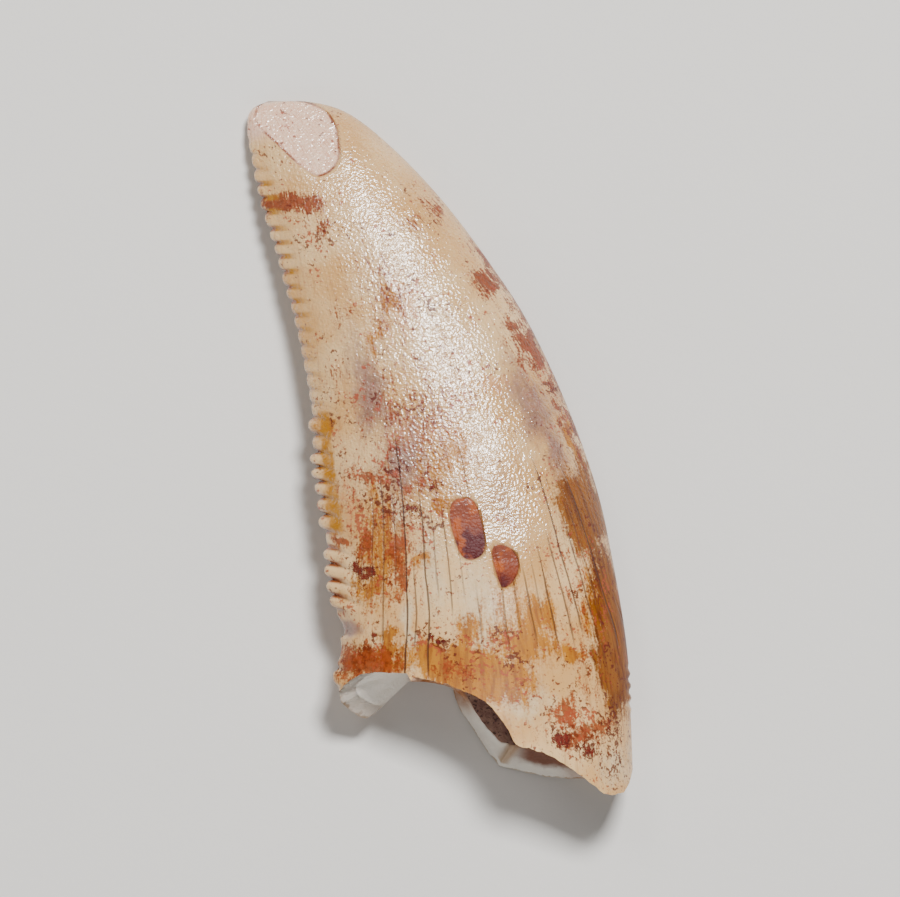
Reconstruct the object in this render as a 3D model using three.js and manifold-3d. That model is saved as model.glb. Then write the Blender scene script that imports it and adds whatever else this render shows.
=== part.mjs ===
import * as THREE from 'three';
import { mergeVertices } from 'three/addons/utils/BufferGeometryUtils.js';
import Module from 'manifold-3d';

// A shed dromaeosaur tooth: a recurved, flattened crown, broken across its base, where it is hollow.
// It lies on one flank. X runs from the saw-toothed rear edge to the smooth front edge,
// Y from the broken base to the tip, and Z from the flank that it rests on to the upper flank.
// Sizes are in millimetres. A place on the crown is given by two shares: along, from the root
// end (0) to the tip (1), and across, from the rear edge (0) to the front edge (1).

// The two edges seen from above, from the root end to the tip, station by station.
const REAR_EDGE = [
  [-2.36, -6.67], [-2.39, -5.15], [-2.51, -3.62], [-2.65, -2.09], [-2.86, -0.45], [-3.05, 1.2],
  [-3.36, 2.84], [-3.73, 4.37], [-4.11, 5.66], [-4.39, 6.77], [-4.53, 7.43], [-4.46, 7.92], [-4.04, 8.14],
];
const FRONT_EDGE = [
  [4.56, -8.32], [4.51, -6.79], [4.42, -4.91], [4.13, -3.03], [3.7, -1.03], [2.99, 0.96],
  [2.08, 2.91], [1.1, 4.42], [0.07, 5.78], [-1.04, 6.96], [-2.12, 7.83], [-3.06, 8.13], [-4.04, 8.14],
];

// Thickness through the flanks, as a share of the width between the edges.
const ROOT_THICKNESS = 0.49;
const TIP_THICKNESS = 0.38;
const UPPER_SHARE = 0.55;
// The edges are blunt: the flank's rise is part square root, which rounds the edge.
const UPPER_RISE = { blunt: 0.25, rear: 0.85, front: 0.55 };
const LOWER_RISE = { blunt: 0.25, rear: 0.62, front: 0.68 };
// The front edge leans down and the rear edge up, as a share of the thickness.
const REAR_LEAN = 0.08;
const FRONT_LEAN = -0.08;

// The belly of the lower flank is level, with a worn flat on which the tooth rests.
const FLAT_DEPTH = 0.05;
const TIP_LIFT = 0.22;
const TIP_LIFT_FROM = 0.72;
const ROOT_LIFT = 0.12;
const ROOT_LIFT_BELOW = 0.14;

// The broken rims of the upper and the lower wall, seen from above, from rear to front.
const UPPER_RIM = [
  [-2.39, -5.76], [-1.88, -5.36], [-0.78, -5.31], [-0.68, -5.42], [0.35, -5.62], [1.22, -6.11],
  [1.6, -6.63], [1.76, -6.96], [2.7, -7.31], [3.64, -7.97], [4.04, -8.18], [4.32, -8.13], [4.54, -7.61],
];
const LOWER_RIM = [
  [-2.39, -5.76], [-2.12, -6.23], [-1.72, -6.42], [-1.53, -6.3], [-1.29, -5.85], [-0.68, -5.53],
  [0, -5.25], [0.3, -5.35], [0.38, -6.12], [0.89, -6.86], [1.41, -7.59], [1.65, -7.8], [3.62, -7.86],
  [4.1, -7.9], [4.54, -7.61],
];

// The pulp cavity: an oval hollow that narrows to a point inside the crown.
const CAVITY_MIDDLE = 0.56;
const CAVITY_HALF_WIDTH = 0.34;
const WALL = 0.62;
const CAVITY_TOP = 0.42;
const UPPER_BEVEL = 0.012;
const LOWER_BEVEL = 0.034;
// How quickly the mouth passes from the lower rim to the upper one at the edges of the crown.
const RIM_BLEND = 2;

// Saw teeth (denticles) along the rear edge: low and worn near the tip, tall near the base.
const PITCH_AT_TIP = 0.335;
const PITCH_AT_BASE = 0.377;
const FIRST_DENTICLE_Y = 7.05;
const LAST_DENTICLE_Y = -3.75;
const TALL_BELOW_Y = 0.6;
const MISSING_DENTICLE_Y = -2.19;
const LONE_DENTICLE_Y = -5.44;
const LOW_HEIGHT = 0.07;
const TALL_HEIGHT = 0.12;
const LONE_HEIGHT = 0.15;
const DENTICLE_ROUNDING = 0.12;
const DENTICLE_SHANK = 2;
const DENTICLE_WIDTH = 0.15;
const DENTICLE_THICKNESS = 0.14;
const DENTICLE_TILT = 0.18;

// The worn facet on the upper flank at the tip: its outline from above, and its plane.
const FACET_OUTLINE = [
  [-4.42, 7.75], [-4.2, 7.45], [-3.88, 7.17], [-3.64, 6.93], [-3.41, 6.7], [-3.17, 6.51],
  [-2.91, 6.34], [-2.7, 6.39], [-2.51, 6.53], [-2.4, 6.72], [-2.36, 6.91], [-2.4, 7.15],
  [-2.44, 7.54], [-2.7, 7.94], [-3.3, 8.2], [-4.2, 8.2],
];
const FACET_CENTRE = [-3.2, 7.25];
const FACET_HEIGHT = 0.92;
const FACET_SLOPE = [0.12, -0.49];

// Two crisp pits in the enamel of the upper flank: outlines from above, and their depth.
const LONG_PIT = [
  [0.26, -1.28], [0.64, -1.2], [0.86, -1.34], [1.08, -2.3], [0.98, -2.58], [0.68, -2.68],
  [0.46, -2.54], [0.22, -1.7],
];
const SHORT_PIT = [
  [1.2, -2.34], [1.5, -2.3], [1.78, -2.5], [1.86, -2.86], [1.72, -3.18], [1.48, -3.34],
  [1.4, -3.22], [1.26, -2.76],
];
const PIT_DEPTH = 0.14;

// How finely the curved surfaces are faceted.
const WIDEST_COLUMN = Math.PI / 22;
const CROWN_ROWS = 36;
const RIM_ROWS = 4;
const REGULAR_FROM = 0.2;
const BREAK_ROWS = 3;
const CAVITY_ROWS = 9;
const SNAP = 1000;

const ENAMEL_COLOUR = 0xcdb8a2;

const { lerp, smoothstep, clamp } = THREE.MathUtils;

const wasm = await Module();
wasm.setup();

function edgeCurve(points) {
  const knots = points.map(([x, y]) => new THREE.Vector3(x, y, 0));
  return new THREE.CatmullRomCurve3(knots, false, 'catmullrom', 0.5);
}

const rearEdge = edgeCurve(REAR_EDGE);
const frontEdge = edgeCurve(FRONT_EDGE);

function rise(shape, across) {
  const swell = shape.blunt * Math.sqrt(across) + (1 - shape.blunt) * across ** shape.rear;
  return swell * (1 - across) ** shape.front;
}

function tallest(shape) {
  const samples = Array.from({ length: 201 }, (_, index) => rise(shape, index / 200));
  return Math.max(...samples);
}

const upperTop = tallest(UPPER_RISE);
const lowerTop = tallest(LOWER_RISE);

function thickness(along) {
  const width = rearEdge.getPoint(along).distanceTo(frontEdge.getPoint(along));
  return width * lerp(ROOT_THICKNESS, TIP_THICKNESS, along);
}

// The height of the surface between the flanks, which both edges lie on.
function middleHeight(along, across) {
  const thick = thickness(along);
  const lift = TIP_LIFT * smoothstep(along, TIP_LIFT_FROM, 1) ** 2
    + ROOT_LIFT * (1 - smoothstep(along, 0, ROOT_LIFT_BELOW));
  const lean = thick * lerp(REAR_LEAN, FRONT_LEAN, across);
  return thick * (1 - UPPER_SHARE) - FLAT_DEPTH + lift + lean;
}

function planPoint(along, across) {
  return rearEdge.getPoint(along).lerp(frontEdge.getPoint(along), across);
}

function flankPoint(along, across, upper) {
  const point = planPoint(along, across);
  const share = upper ? UPPER_SHARE * rise(UPPER_RISE, across) / upperTop
    : -(1 - UPPER_SHARE) * rise(LOWER_RISE, across) / lowerTop;
  point.z = middleHeight(along, across) + thickness(along) * share;
  return point;
}

// Finds the shares along and across of a point seen from above.
function locate([x, y]) {
  let along = 0.1;
  let across = 0.5;
  const step = 1e-4;
  for (let turn = 0; turn < 30; turn += 1) {
    const here = planPoint(along, across);
    const slopeAlong = planPoint(along + step, across).sub(here).divideScalar(step);
    const slopeAcross = frontEdge.getPoint(along).sub(rearEdge.getPoint(along));
    const dx = x - here.x;
    const dy = y - here.y;
    const area = slopeAlong.x * slopeAcross.y - slopeAlong.y * slopeAcross.x;
    along = clamp(along + (dx * slopeAcross.y - dy * slopeAcross.x) / area, 0, 0.99);
    across = clamp(across + (slopeAlong.x * dy - slopeAlong.y * dx) / area, 0, 1);
  }
  return { along, across };
}

// The broken rim as a function of the share across, straight between its corners.
function rimCurve(corners) {
  return (across) => {
    let index = 0;
    while (index < corners.length - 2 && corners[index + 1].across <= across) {
      index += 1;
    }
    const from = corners[index];
    const to = corners[index + 1];
    const share = clamp((across - from.across) / Math.max(to.across - from.across, 1e-6), 0, 1);
    return lerp(from.along, to.along, share);
  };
}

const upperCorners = UPPER_RIM.map(locate);
const lowerCorners = LOWER_RIM.map(locate);
const upperRim = rimCurve(upperCorners);
const lowerRim = rimCurve(lowerCorners);

// The angles round the crown at which its surface has a line of points: one at each corner of
// the broken rims, and as many between as keep the lines close.
function columnAngles() {
  const angleOf = ({ across }) => Math.acos(1 - 2 * across);
  const upperAngles = upperCorners.slice(1, -1).map(angleOf);
  const lowerAngles = lowerCorners.slice(1, -1).map((corner) => 2 * Math.PI - angleOf(corner));
  const corners = [0, ...upperAngles, Math.PI, ...lowerAngles.reverse(), 2 * Math.PI];
  return corners.slice(0, -1).flatMap((from, index) => {
    const gap = corners[index + 1] - from;
    const parts = Math.ceil(gap / WIDEST_COLUMN);
    return Array.from({ length: parts }, (_, part) => from + gap * part / parts);
  });
}

// A point on the wall of the pulp cavity, at an angle round it that starts at the rear.
function cavityNarrowing(along) {
  const share = clamp(along / CAVITY_TOP, 0, 1);
  return Math.sqrt(1 - share) * lerp(1, 0.75, share);
}

function cavityAcross(along, angle) {
  return CAVITY_MIDDLE - CAVITY_HALF_WIDTH * cavityNarrowing(along) * Math.cos(angle);
}

function cavityPoint(along, angle) {
  const across = cavityAcross(along, angle);
  const point = planPoint(along, across);
  const halfHeight = Math.max(thickness(along) / 2 - WALL, 0.1) * cavityNarrowing(along);
  point.z = middleHeight(along, across) + thickness(along) * (UPPER_SHARE - 0.5)
    + halfHeight * Math.sin(angle);
  return point;
}

// The break crosses the wall straight, so the cavity's mouth follows the rim that lies over it.
function innerRim(outerRim, angle) {
  const across = cavityAcross(outerRim, angle);
  return lerp(lowerRim(across), upperRim(across), clamp(0.5 + RIM_BLEND * Math.sin(angle), 0, 1));
}

// One line of the surface, from the tip down the flank, over the broken rim and up the cavity.
function surfaceLine(angle) {
  const across = (1 - Math.cos(angle)) / 2;
  const upper = angle <= Math.PI;
  const rim = upper ? upperRim(across) : lowerRim(across);
  const line = [];
  for (let row = 1; row <= CROWN_ROWS; row += 1) {
    const share = row / CROWN_ROWS;
    line.push(flankPoint(lerp(1, REGULAR_FROM, share ** 1.35), across, upper));
  }
  for (let row = 1; row <= RIM_ROWS; row += 1) {
    line.push(flankPoint(lerp(REGULAR_FROM, rim, row / RIM_ROWS), across, upper));
  }
  const bevel = lerp(UPPER_BEVEL, LOWER_BEVEL, (1 - Math.sin(angle)) / 2);
  const outerEdge = line[line.length - 1];
  const innerAlong = innerRim(rim, angle) + bevel;
  const innerEdge = cavityPoint(innerAlong, angle);
  for (let row = 1; row <= BREAK_ROWS; row += 1) {
    line.push(outerEdge.clone().lerp(innerEdge, row / BREAK_ROWS));
  }
  for (let row = 1; row < CAVITY_ROWS; row += 1) {
    line.push(cavityPoint(lerp(innerAlong, CAVITY_TOP, row / CAVITY_ROWS), angle));
  }
  return line;
}

function crownGeometry() {
  const lines = columnAngles().map(surfaceLine);
  const rows = lines[0].length;
  const points = lines.flat();
  const tip = points.push(flankPoint(1, 0, true)) - 1;
  const hollowEnd = points.push(cavityPoint(CAVITY_TOP, 0)) - 1;
  const faces = [];
  for (let column = 0; column < lines.length; column += 1) {
    const here = column * rows;
    const next = (column + 1) % lines.length * rows;
    faces.push(tip, here, next);
    for (let row = 0; row < rows - 1; row += 1) {
      faces.push(here + row, next + row + 1, next + row);
      faces.push(here + row, here + row + 1, next + row + 1);
    }
    faces.push(here + rows - 1, hollowEnd, next + rows - 1);
  }
  const geometry = new THREE.BufferGeometry().setFromPoints(points);
  geometry.setIndex(faces);
  return geometry;
}

function solidOf(geometry) {
  const bare = geometry.clone();
  bare.deleteAttribute('normal');
  bare.deleteAttribute('uv');
  const merged = mergeVertices(bare, 1e-5);
  const corners = Array.from(merged.index.array);
  const faces = [];
  for (let index = 0; index < corners.length; index += 3) {
    const [a, b, c] = corners.slice(index, index + 3);
    if (a !== b && b !== c && c !== a) {
      faces.push(a, b, c);
    }
  }
  const mesh = new wasm.Mesh({
    numProp: 3,
    vertProperties: new Float32Array(merged.attributes.position.array),
    triVerts: new Uint32Array(faces),
  });
  return new wasm.Manifold(mesh);
}

// A denticle: a small rounded peg that stands out of the rear edge, tilted towards the tip.
function denticle(y, height, size) {
  let low = 0;
  let high = 1;
  for (let turn = 0; turn < 30; turn += 1) {
    const middle = (low + high) / 2;
    if (rearEdge.getPoint(middle).y < y) {
      low = middle;
    } else {
      high = middle;
    }
  }
  const root = flankPoint(low, 0, true);
  const tangent = rearEdge.getTangent(low);
  const outward = Math.atan2(tangent.x, -tangent.y) - DENTICLE_TILT;
  const peg = new THREE.CapsuleGeometry(1, DENTICLE_SHANK, 3, 8);
  peg.rotateZ(Math.PI / 2);
  peg.scale(DENTICLE_ROUNDING * size, DENTICLE_WIDTH * size, DENTICLE_THICKNESS * size);
  peg.rotateZ(outward);
  const inset = height - (1 + DENTICLE_SHANK / 2) * DENTICLE_ROUNDING * size;
  peg.translate(root.x + Math.cos(outward) * inset, root.y + Math.sin(outward) * inset, root.z);
  return solidOf(peg);
}

function denticles() {
  const pegs = [];
  for (let y = FIRST_DENTICLE_Y; y > LAST_DENTICLE_Y;) {
    const progress = (FIRST_DENTICLE_Y - y) / (FIRST_DENTICLE_Y - LAST_DENTICLE_Y);
    const pitch = lerp(PITCH_AT_TIP, PITCH_AT_BASE, progress);
    const tall = y < TALL_BELOW_Y;
    if (Math.abs(y - MISSING_DENTICLE_Y) > pitch / 2) {
      pegs.push(denticle(y, tall ? TALL_HEIGHT : LOW_HEIGHT, tall ? 1 : lerp(0.85, 0.7, progress)));
    }
    y -= pitch;
  }
  pegs.push(denticle(LONE_DENTICLE_Y, LONE_HEIGHT, 0.85));
  return pegs;
}

// A cutter with the given outline from above, whose underside follows a height function.
function cutter(outline, undersideHeight) {
  const shape = new THREE.Shape(outline.map(([x, y]) => new THREE.Vector2(x, y)));
  const geometry = new THREE.ExtrudeGeometry(shape, { depth: 10, bevelEnabled: false });
  const position = geometry.attributes.position;
  for (let index = 0; index < position.count; index += 1) {
    if (position.getZ(index) < 1) {
      position.setZ(index, undersideHeight(position.getX(index), position.getY(index)));
    }
  }
  return solidOf(geometry);
}

function facetHeight(x, y) {
  return FACET_HEIGHT + FACET_SLOPE[0] * (x - FACET_CENTRE[0]) + FACET_SLOPE[1] * (y - FACET_CENTRE[1]);
}

function pitFloor(x, y) {
  const { along, across } = locate([x, y]);
  return flankPoint(along, across, true).z - PIT_DEPTH;
}

function ground() {
  const slab = new THREE.BoxGeometry(40, 40, 5);
  slab.translate(0, 0, -2.5);
  return solidOf(slab);
}

// Coordinates are rounded to a thousandth of a millimetre, and points that then agree are joined.
function geometryOf(solid) {
  const { vertProperties, triVerts } = solid.getMesh();
  const rounded = Array.from(vertProperties, (value) => Math.round(value * SNAP) / SNAP);
  const geometry = new THREE.BufferGeometry();
  geometry.setAttribute('position', new THREE.Float32BufferAttribute(rounded, 3));
  geometry.setIndex(Array.from(triVerts));
  return geometry;
}

let tooth = solidOf(crownGeometry());
for (const peg of denticles()) {
  tooth = tooth.add(peg);
}
tooth = tooth.subtract(cutter(FACET_OUTLINE, facetHeight));
tooth = tooth.subtract(cutter(LONG_PIT, pitFloor));
tooth = tooth.subtract(cutter(SHORT_PIT, pitFloor));
tooth = tooth.subtract(ground());

const enamel = new THREE.MeshStandardMaterial({ color: ENAMEL_COLOUR, roughness: 0.35, metalness: 0 });
const mesh = new THREE.Mesh(geometryOf(tooth), enamel);
mesh.name = 'tooth';

const fossil = new THREE.Group();
fossil.add(mesh);

export default fossil;
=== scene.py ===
import math

import bpy
import numpy as np
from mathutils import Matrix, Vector


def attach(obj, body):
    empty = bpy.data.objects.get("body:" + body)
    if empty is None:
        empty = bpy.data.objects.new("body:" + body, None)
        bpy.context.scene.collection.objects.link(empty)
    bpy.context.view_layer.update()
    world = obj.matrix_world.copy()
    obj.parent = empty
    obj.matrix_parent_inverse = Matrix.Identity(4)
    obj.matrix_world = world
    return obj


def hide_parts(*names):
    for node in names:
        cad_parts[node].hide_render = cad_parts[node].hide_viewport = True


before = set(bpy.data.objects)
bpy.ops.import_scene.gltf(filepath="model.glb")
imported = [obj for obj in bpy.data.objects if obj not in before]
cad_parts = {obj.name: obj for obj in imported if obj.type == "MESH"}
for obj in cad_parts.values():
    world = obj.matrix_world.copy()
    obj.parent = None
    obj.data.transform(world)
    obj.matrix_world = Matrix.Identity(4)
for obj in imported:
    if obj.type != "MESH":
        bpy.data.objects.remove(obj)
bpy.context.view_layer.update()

# A fossil dromaeosaur tooth lying on one flank, seen from straight above.
# Shapes are worked out in millimetres and written to the meshes in metres. A place on the crown
# is given by two shares: along, from the root end (0) to the tip (1), and across, from the
# saw-toothed rear edge (0) to the smooth front edge (1).

MM = 0.001
SEED = 7

# The two edges seen from above, from the root end to the tip, station by station.
REAR_EDGE = [
    (-2.36, -6.67), (-2.39, -5.15), (-2.51, -3.62), (-2.65, -2.09), (-2.86, -0.45), (-3.05, 1.2),
    (-3.36, 2.84), (-3.73, 4.37), (-4.11, 5.66), (-4.39, 6.77), (-4.53, 7.43), (-4.46, 7.92), (-4.04, 8.14)]
FRONT_EDGE = [
    (4.56, -8.32), (4.51, -6.79), (4.42, -4.91), (4.13, -3.03), (3.7, -1.03), (2.99, 0.96),
    (2.08, 2.91), (1.1, 4.42), (0.07, 5.78), (-1.04, 6.96), (-2.12, 7.83), (-3.06, 8.13), (-4.04, 8.14)]

# Thickness through the flanks, as a share of the width between the edges, and how the flanks swell.
ROOT_THICKNESS = 0.49
TIP_THICKNESS = 0.38
UPPER_SHARE = 0.55
UPPER_RISE = {"blunt": 0.25, "rear": 0.85, "front": 0.55}
LOWER_RISE = {"blunt": 0.25, "rear": 0.62, "front": 0.68}
REAR_LEAN = 0.08
FRONT_LEAN = -0.08
FLAT_DEPTH = 0.05
TIP_LIFT = 0.22
TIP_LIFT_FROM = 0.72
ROOT_LIFT = 0.12
ROOT_LIFT_BELOW = 0.14

# The broken rims of the upper and the lower wall, seen from above, from rear to front.
UPPER_RIM = [
    (-2.39, -5.76), (-2.12, -5.5), (-1.88, -5.36), (-1.6, -5.31), (-1.29, -5.3), (-0.78, -5.31),
    (-0.68, -5.5), (-0.62, -5.41), (-0.24, -5.48), (0.18, -5.56), (0.35, -5.62), (0.58, -5.74),
    (0.82, -5.85), (1.06, -5.97), (1.22, -6.11), (1.41, -6.35), (1.6, -6.63), (1.76, -6.96), (1.9, -7.02),
    (2.12, -7.07), (2.35, -7.14), (2.7, -7.31), (3.06, -7.52), (3.29, -7.71), (3.64, -7.97),
    (3.83, -8.13), (4.04, -8.18), (4.32, -8.13), (4.45, -7.92), (4.54, -7.61)]
LOWER_RIM = [
    (-2.39, -5.76), (-2.33, -6.02), (-2.12, -6.23), (-1.88, -6.39), (-1.72, -6.42), (-1.53, -6.3),
    (-1.46, -6.18), (-1.29, -5.85), (-1.18, -5.73), (-0.94, -5.59), (-0.68, -5.53), (-0.4, -5.35),
    (0, -5.25), (0.3, -5.35), (0.36, -5.95), (0.4, -6.14), (0.66, -6.49), (0.89, -6.86), (1.13, -7.24),
    (1.41, -7.59), (1.53, -7.73), (1.65, -7.8), (2.12, -7.83), (2.59, -7.83), (3.06, -7.85),
    (3.62, -7.86), (4.1, -7.9), (4.42, -7.8), (4.54, -7.61)]
RIM_JAG = 0.0016

# The pulp cavity: an oval hollow that narrows to a point inside the crown.
CAVITY_MIDDLE = 0.56
CAVITY_HALF_WIDTH = 0.34
WALL = 0.62
CAVITY_TOP = 0.42
UPPER_BEVEL = 0.012
LOWER_BEVEL = 0.034
RIM_BLEND = 2
# A thin ridge of dentine crosses the broken lower wall, from the upper rim's corner outwards.
RIDGE_FROM = (1.8, -6.98)
RIDGE_TO = (1.38, -7.56)
RIDGE_HEIGHT = 0.5
RIDGE_WIDTH = 0.09

# The worn facet on the upper flank at the tip, and the two pits: outlines from above.
FACET_OUTLINE = [
    (-4.42, 7.75), (-4.2, 7.45), (-3.88, 7.17), (-3.64, 6.93), (-3.41, 6.7), (-3.17, 6.51), (-2.91, 6.34),
    (-2.7, 6.39), (-2.51, 6.53), (-2.4, 6.72), (-2.36, 6.91), (-2.4, 7.15), (-2.44, 7.54), (-2.7, 7.94),
    (-3.3, 8.2), (-4.2, 8.2)]
FACET_CENTRE = (-3.2, 7.25)
FACET_HEIGHT = 0.92
FACET_SLOPE = (0.12, -0.49)
LONG_PIT = [
    (0.26, -1.28), (0.64, -1.2), (0.86, -1.34), (1.08, -2.3), (0.98, -2.58), (0.68, -2.68),
    (0.46, -2.54), (0.22, -1.7)]
SHORT_PIT = [
    (1.2, -2.34), (1.5, -2.3), (1.78, -2.5), (1.86, -2.86), (1.72, -3.18), (1.48, -3.34),
    (1.4, -3.22), (1.26, -2.76)]
PIT_DEPTH = 0.14
# The pits' floors rise towards their upper ends, to this share of the depth.
PIT_SHALLOW_END = 0.45
PIT_DARKENING = (1.0, 0.6)
OUTLINE_REACH = 0.028

# The wear of the flanks, in millimetres.
BROAD_FLUTES = 0.012
FINE_FLUTES = 0.006
FACET_WRINKLES = 0.018
CHIP_REACH = 0.35
FRONT_BUMPS = 0.03
BREAK_ROUGHNESS = 0.03

# Denticles: the heights of the notches between them, and at heights down the rear edge how far
# they stand out, how far their ridges run in over the flanks, and how high those ridges are.
NOTCHES = [
    6.53, 6.18, 5.85, 5.52, 5.12, 4.79, 4.47, 4.11, 3.74, 3.41, 3.08, 2.73, 2.37, 2.05, 1.69, 1.34, 1.01,
    0.68, 0.27, -0.14, -0.48, -0.82, -1.2, -1.6, -2.0, -2.37, -2.75, -3.13, -3.49, -3.83, -5.25, -5.64]
STAND = [
    (7.5, 0.02), (6.6, 0.06), (6.3, 0.08), (5.6, 0.09), (4.3, 0.08), (3.7, 0.07), (3.3, 0.035),
    (2.4, 0.025), (1.7, 0.02), (0.72, 0.0), (0.64, 0.11), (0.3, 0.1), (0.22, 0.045), (-0.12, 0.04),
    (-0.2, 0.14), (-0.8, 0.15), (-1.04, 0.12), (-1.98, 0.125), (-2.02, 0.045), (-2.34, 0.03),
    (-2.4, 0.11), (-3.45, 0.11), (-3.55, 0.07), (-3.8, 0.03), (-3.9, 0.0),
    (-5.22, 0.0), (-5.28, 0.16), (-5.6, 0.14), (-5.68, 0.0)]
RIDGE_REACH = [
    (7.5, 0.25), (0.8, 0.3), (0.6, 0.45), (-2.3, 0.45), (-2.5, 0.7), (-3.3, 1.1), (-3.9, 0.9), (-4.3, 0.3)]
RIDGE_RELIEF = [
    (7.2, 0), (6.9, 0.025), (0.8, 0.04), (0.5, 0.09), (-1.95, 0.09), (-2.05, 0.0), (-2.35, 0.0),
    (-2.45, 0.09), (-3.8, 0.08), (-4.1, 0.0)]
DENTICLE_TILT = 0.18
CHIPS = [
    (-3.75, 0), (-3.95, 0.06), (-4.15, 0.16), (-4.3, 0.2), (-4.43, 0.19), (-4.52, 0.09), (-4.75, 0.1),
    (-4.95, 0.05), (-5.1, -0.02), (-5.26, 0.03), (-5.3, 0)]

# How finely the surfaces are meshed.
EDGE_COLUMNS = 12
EDGE_ACROSS = 0.11
UPPER_COLUMNS = 160
LOWER_COLUMNS = 68
CROWN_ROWS = 258
RIM_ROWS = 40
REGULAR_FROM = 0.15
FINE = 3
BREAK_ROWS = 10
CAVITY_ROWS = 24
CROWN, BREAK, HOLLOW = 0, 1, 2


def smooth_step(value, low, high):
    share = np.clip((value - low) / (high - low), 0, 1)
    return share * share * (3 - 2 * share)


def down_edge(table, height):
    """A value that a table gives for heights that fall from the tip to the base."""
    heights, values = zip(*table)
    return np.interp(-height, [-level for level in heights], values)


def edge_curve(points, share):
    """A smooth curve through the points, at shares from the first to the last."""
    knots = np.array(points, float)
    spans = len(knots) - 1
    place = np.clip(share, 0, 1) * spans
    index = np.minimum(place.astype(int), spans - 1)
    part = (place - index)[..., None]
    ends = np.vstack([2 * knots[0] - knots[1], knots, 2 * knots[-1] - knots[-2]])
    before, start, end, after = ends[index], ends[index + 1], ends[index + 2], ends[index + 3]
    leave = (end - before) / 2
    arrive = (after - start) / 2
    cubic = (2 * start - 2 * end + leave + arrive) * part ** 3
    square = (-3 * start + 3 * end - 2 * leave - arrive) * part ** 2
    return cubic + square + leave * part + start


def rise(shape, across):
    swell = shape["blunt"] * np.sqrt(across) + (1 - shape["blunt"]) * across ** shape["rear"]
    return swell * (1 - across) ** shape["front"]


SAMPLES = np.linspace(0, 1, 201)
UPPER_TOP = rise(UPPER_RISE, SAMPLES).max()
LOWER_TOP = rise(LOWER_RISE, SAMPLES).max()


def plan_point(along, across):
    across = across[..., None]
    return edge_curve(REAR_EDGE, along) * (1 - across) + edge_curve(FRONT_EDGE, along) * across


def crown_width(along):
    return np.linalg.norm(edge_curve(REAR_EDGE, along) - edge_curve(FRONT_EDGE, along), axis=-1)


def thickness(along):
    return crown_width(along) * (ROOT_THICKNESS + (TIP_THICKNESS - ROOT_THICKNESS) * along)


def middle_height(along, across):
    thick = thickness(along)
    lift = TIP_LIFT * smooth_step(along, TIP_LIFT_FROM, 1) ** 2
    lift = lift + ROOT_LIFT * (1 - smooth_step(along, 0, ROOT_LIFT_BELOW))
    lean = thick * (REAR_LEAN + (FRONT_LEAN - REAR_LEAN) * across)
    return thick * (1 - UPPER_SHARE) - FLAT_DEPTH + lift + lean


def flank_point(along, across, upper):
    swell = np.where(upper, UPPER_SHARE * rise(UPPER_RISE, across) / UPPER_TOP,
                     -(1 - UPPER_SHARE) * rise(LOWER_RISE, across) / LOWER_TOP)
    height = middle_height(along, across) + thickness(along) * swell
    return np.concatenate([plan_point(along, across), height[..., None]], axis=-1)


def locate(places, along, across):
    """The shares along and across of places seen from above, from a first guess at them."""
    step = 1e-4
    for _ in range(30):
        here = plan_point(along, across)
        slope_along = (plan_point(along + step, across) - here) / step
        slope_across = edge_curve(FRONT_EDGE, along) - edge_curve(REAR_EDGE, along)
        gap = places - here
        area = slope_along[:, 0] * slope_across[:, 1] - slope_along[:, 1] * slope_across[:, 0]
        more_along = (gap[:, 0] * slope_across[:, 1] - gap[:, 1] * slope_across[:, 0]) / area
        more_across = (slope_along[:, 0] * gap[:, 1] - slope_along[:, 1] * gap[:, 0]) / area
        along = np.clip(along + more_along, 0, 0.99)
        across = np.clip(across + more_across, 0, 1)
    return along, across


def rim_curve(outline, dice):
    """The broken rim's share along at a share across, finely jagged."""
    places = np.array(outline, float)
    along, across = locate(places, np.full(len(places), 0.1), np.full(len(places), 0.5))
    order = np.maximum.accumulate(across + np.arange(len(across)) * 1e-6)
    coarse = dice.uniform(-1, 1, 60)
    fine = dice.uniform(-1, 1, 170)

    def rim(share):
        jag = 0.6 * np.interp(share, np.linspace(0, 1, 60), coarse)
        jag = jag + 0.5 * np.interp(share, np.linspace(0, 1, 170), fine)
        fade = np.sin(np.pi * np.clip(share, 0, 1)) ** 0.5
        return np.interp(share, order, along) + RIM_JAG * jag * fade
    return rim


def outline_depth(outline, places):
    """How far inside a closed outline each place lies, negative outside, and the nearest point on it."""
    corners = np.array(outline, float)
    distance = np.full(len(places), 1e9)
    nearest = places.copy()
    inside = np.zeros(len(places), bool)
    x, y = places[:, 0], places[:, 1]
    for start, end in zip(corners, np.roll(corners, -1, axis=0)):
        run = end - start
        share = np.clip((places - start) @ run / (run @ run), 0, 1)
        foot = start + share[:, None] * run
        gap = np.linalg.norm(places - foot, axis=1)
        nearest[gap < distance] = foot[gap < distance]
        distance = np.minimum(distance, gap)
        crosses = (start[1] > y) != (end[1] > y)
        if run[1]:
            inside ^= crosses & (x < run[0] * (y - start[1]) / run[1] + start[0])
    return np.where(inside, distance, -distance), nearest


def rounded(outline):
    """The outline with its corners cut twice, as smooth as a worn edge."""
    corners = np.array(outline, float)
    for _ in range(2):
        following = np.roll(corners, -1, axis=0)
        corners = np.stack([corners * 0.75 + following * 0.25, corners * 0.25 + following * 0.75], axis=1)
        corners = corners.reshape(-1, 2)
    return corners


def ripple(x, y, size, dice):
    """Soft uneven ground: a few crossing waves of about the given size, from -1 to 1."""
    total = np.zeros(x.shape)
    for _ in range(7):
        turn, phase, stretch = dice.uniform(0, math.tau), dice.uniform(0, math.tau), dice.uniform(0.7, 1.6)
        total += np.sin((x * math.cos(turn) + y * math.sin(turn)) * math.tau / (size * stretch) + phase)
    return total / 4


def cavity_narrowing(along):
    share = np.clip(along / CAVITY_TOP, 0, 1)
    return np.sqrt(1 - share) * (1 - 0.25 * share)


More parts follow.
